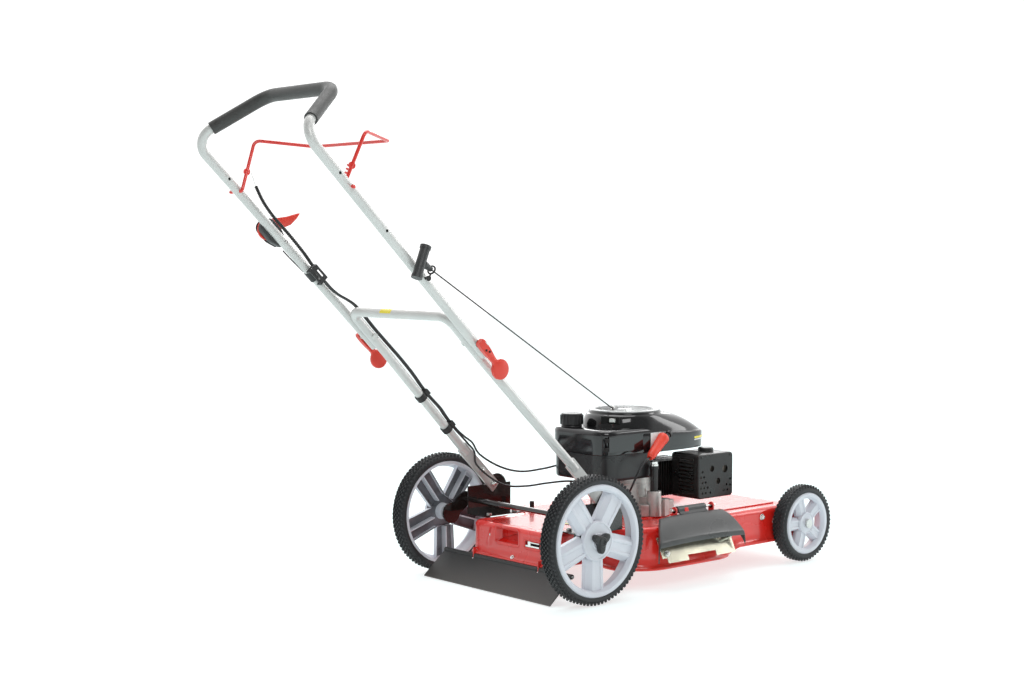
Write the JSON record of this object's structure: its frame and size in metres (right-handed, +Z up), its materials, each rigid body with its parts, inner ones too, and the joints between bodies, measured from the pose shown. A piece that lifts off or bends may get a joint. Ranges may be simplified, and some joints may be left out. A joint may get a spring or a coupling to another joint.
{
  "type": "push lawn mower",
  "caption": "Petrol push lawn mower with high rear wheels, pressed steel deck, side discharge, folding tubular handle, brake bail, throttle lever and recoil starter.",
  "frame": {"origin": "on the ground, below the middle of the bounding box, which is 76 mm ahead of the rear axle", "axes": "+X forward, the way the mower is pushed; +Y to its left; +Z up"},
  "size_m": [1.65, 0.6378, 1.189],
  "materials": {
    "red_enamel": "gloss red enamel",
    "zinc_steel": "zinc plated",
    "cream_zinc": "cream passivated zinc",
    "black_plastic": "moulded, fine grain",
    "black_enamel": "gloss black enamel",
    "silver_paint": "satin silver-grey powder coat",
    "rubber": "matt",
    "cable_jacket": "smooth jacket",
    "cast_aluminium": "as cast",
    "black_engine_paint": "heat-proof satin black",
    "black_gloss": "gloss",
    "grille_silver": "silver-grey paint",
    "red_rubber": "semi-gloss",
    "muffler_steel": "heat-stained",
    "rope": "braided",
    "foam": "foam skin",
    "black_wire": "black coated wire",
    "dark_plastic": "moulded, fine grain",
    "red_paint": "gloss red-orange",
    "red_plastic": "moulded",
    "blade_steel": "ground edges",
    "flap_rubber": "smooth sheet",
    "wheel_plastic": "moulded, light grey-white",
    "tyre": "block tread"
  },
  "bodies": {
    "chassis": {"deck_shell": "red_enamel", "hinge_rods": "zinc_steel", "side_plate": "cream_zinc", "wash_port": "black_plastic", "handle_brackets": "black_enamel", "bracket_bolts": "zinc_steel", "lower_handle": "silver_paint", "cable_clips": "rubber", "throttle_cable": "cable_jacket", "brake_cable": "cable_jacket", "front_axle_bolts": "zinc_steel", "crankcase": "cast_aluminium", "engine_cylinder": "black_engine_paint", "cylinder_head": "black_engine_paint", "fuel_tank": "black_gloss", "blower_housing": "black_gloss", "starter_grille": "grille_silver", "spark_plug": "zinc_steel", "plug_boot": "red_rubber", "plug_lead": "cable_jacket", "oil_tube": "cast_aluminium", "muffler_guard": "black_engine_paint", "muffler": "muffler_steel", "air_filter": "black_plastic", "carburettor": "cast_aluminium", "starter_rope": "rope"},
    "upper_handle": {"upper_handle": "silver_paint", "foam_grip": "foam", "fold_bolts": "zinc_steel", "rope_guide": "black_wire", "cable_bracket": "black_plastic", "throttle_housing": "dark_plastic", "cable_sleeve": "rubber", "throttle_link": "cable_jacket", "brake_wire": "zinc_steel"},
    "bail": {"bail_bar": "red_paint"},
    "throttle_lever": {"throttle_lever": "red_plastic"},
    "cam_lever_left": {"cam_lever_left": "red_plastic"},
    "cam_lever_right": {"cam_lever_right": "red_plastic"},
    "starter_handle": {"starter_handle": "dark_plastic"},
    "rotor": {"crankshaft": "zinc_steel", "blade": "blade_steel", "blade_adapter": "muffler_steel", "blade_bolt": "zinc_steel", "flywheel": "cast_aluminium"},
    "rear_axle": {"height_bar": "black_enamel", "crank_arms": "black_enamel", "hub_knobs": "black_plastic"},
    "rear_wheel_left": {"rear_rim_left": "wheel_plastic", "rear_tyre_left": "tyre"},
    "rear_wheel_right": {"rear_rim_right": "wheel_plastic", "rear_tyre_right": "tyre"},
    "front_wheel_left": {"front_rim_left": "wheel_plastic", "front_tyre_left": "tyre"},
    "front_wheel_right": {"front_rim_right": "wheel_plastic", "front_tyre_right": "tyre"},
    "flap": {"rear_flap": "flap_rubber"},
    "deflector": {"deflector": "dark_plastic"},
    "fuel_cap": {"fuel_cap": "black_plastic"},
    "oil_cap": {"oil_cap": "black_plastic"}
  },
  "joints": [
    {"name": "handle_fold", "type": "hinge", "parent": "chassis", "child": "upper_handle", "pos_m": [-0.37, 0, 0.62], "axis": [0, 1, 0], "range_deg": [0, 136], "deforming": ["starter_rope", "throttle_cable", "brake_cable"]},
    {"name": "bail_squeeze", "type": "hinge", "parent": "upper_handle", "child": "bail", "pos_m": [-0.71924, 0, 0.962], "axis": [0, -1, 0], "range_deg": [0, 44], "stiffness_Nm_per_rad": 0.6, "springref_deg": -34.38, "deforming": ["brake_wire"]},
    {"name": "throttle_move", "type": "hinge", "parent": "upper_handle", "child": "throttle_lever", "pos_m": [-0.628, 0.23373, 0.8758], "axis": [0, -1, 0], "range_deg": [0, 45]},
    {"name": "cam_left", "type": "hinge", "parent": "upper_handle", "child": "cam_lever_left", "pos_m": [-0.37, 0.2305, 0.62], "axis": [0.7398, 0, 0.6728], "range_deg": [0, 120]},
    {"name": "cam_right", "type": "hinge", "parent": "upper_handle", "child": "cam_lever_right", "pos_m": [-0.37, -0.2305, 0.62], "axis": [-0.7398, 0, -0.6728], "range_deg": [0, 120]},
    {"name": "starter_pull", "type": "slide", "parent": "upper_handle", "child": "starter_handle", "axis": [-0.8713, -0.2596, 0.4165], "range_m": [0, 0.5], "stiffness_N_per_m": 12, "springref_m": -0.5},
    {"name": "blade_spin", "type": "hinge", "parent": "chassis", "child": "rotor", "pos_m": [0.304, 0, 0.064], "axis": [0, 0, 1], "continuous": true},
    {"name": "height_adjust", "type": "hinge", "parent": "chassis", "child": "rear_axle", "pos_m": [-0.03, 0, 0.185], "axis": [0, 1, 0], "range_deg": [-18, 18]},
    {"name": "rear_roll_left", "type": "hinge", "parent": "rear_axle", "child": "rear_wheel_left", "pos_m": [-0.076, 0.2815, 0.1524], "axis": [0, 1, 0], "continuous": true},
    {"name": "rear_roll_right", "type": "hinge", "parent": "rear_axle", "child": "rear_wheel_right", "pos_m": [-0.076, -0.2815, 0.1524], "axis": [0, 1, 0], "continuous": true},
    {"name": "front_roll_left", "type": "hinge", "parent": "chassis", "child": "front_wheel_left", "pos_m": [0.724, 0.246, 0.102], "axis": [0, 1, 0], "continuous": true},
    {"name": "front_roll_right", "type": "hinge", "parent": "chassis", "child": "front_wheel_right", "pos_m": [0.724, -0.246, 0.102], "axis": [0, 1, 0], "continuous": true},
    {"name": "flap_swing", "type": "hinge", "parent": "chassis", "child": "flap", "pos_m": [-0.101, 0, 0.062], "axis": [0, 1, 0], "range_deg": [0, 70]},
    {"name": "deflector_lift", "type": "hinge", "parent": "chassis", "child": "deflector", "pos_m": [0.3, -0.226, 0.181], "axis": [-1, 0, 0], "range_deg": [0, 70], "stiffness_Nm_per_rad": 0.8, "springref_deg": -34.38},
    {"name": "fuel_cap_turn", "type": "hinge", "parent": "chassis", "child": "fuel_cap", "pos_m": [0.165, 0.052, 0.37], "axis": [0, 0, 1], "range_deg": [0, 90]},
    {"name": "oil_cap_turn", "type": "hinge", "parent": "chassis", "child": "oil_cap", "pos_m": [0.294, -0.118, 0.28], "axis": [0, 0, 1], "range_deg": [0, 90]}
  ]
}
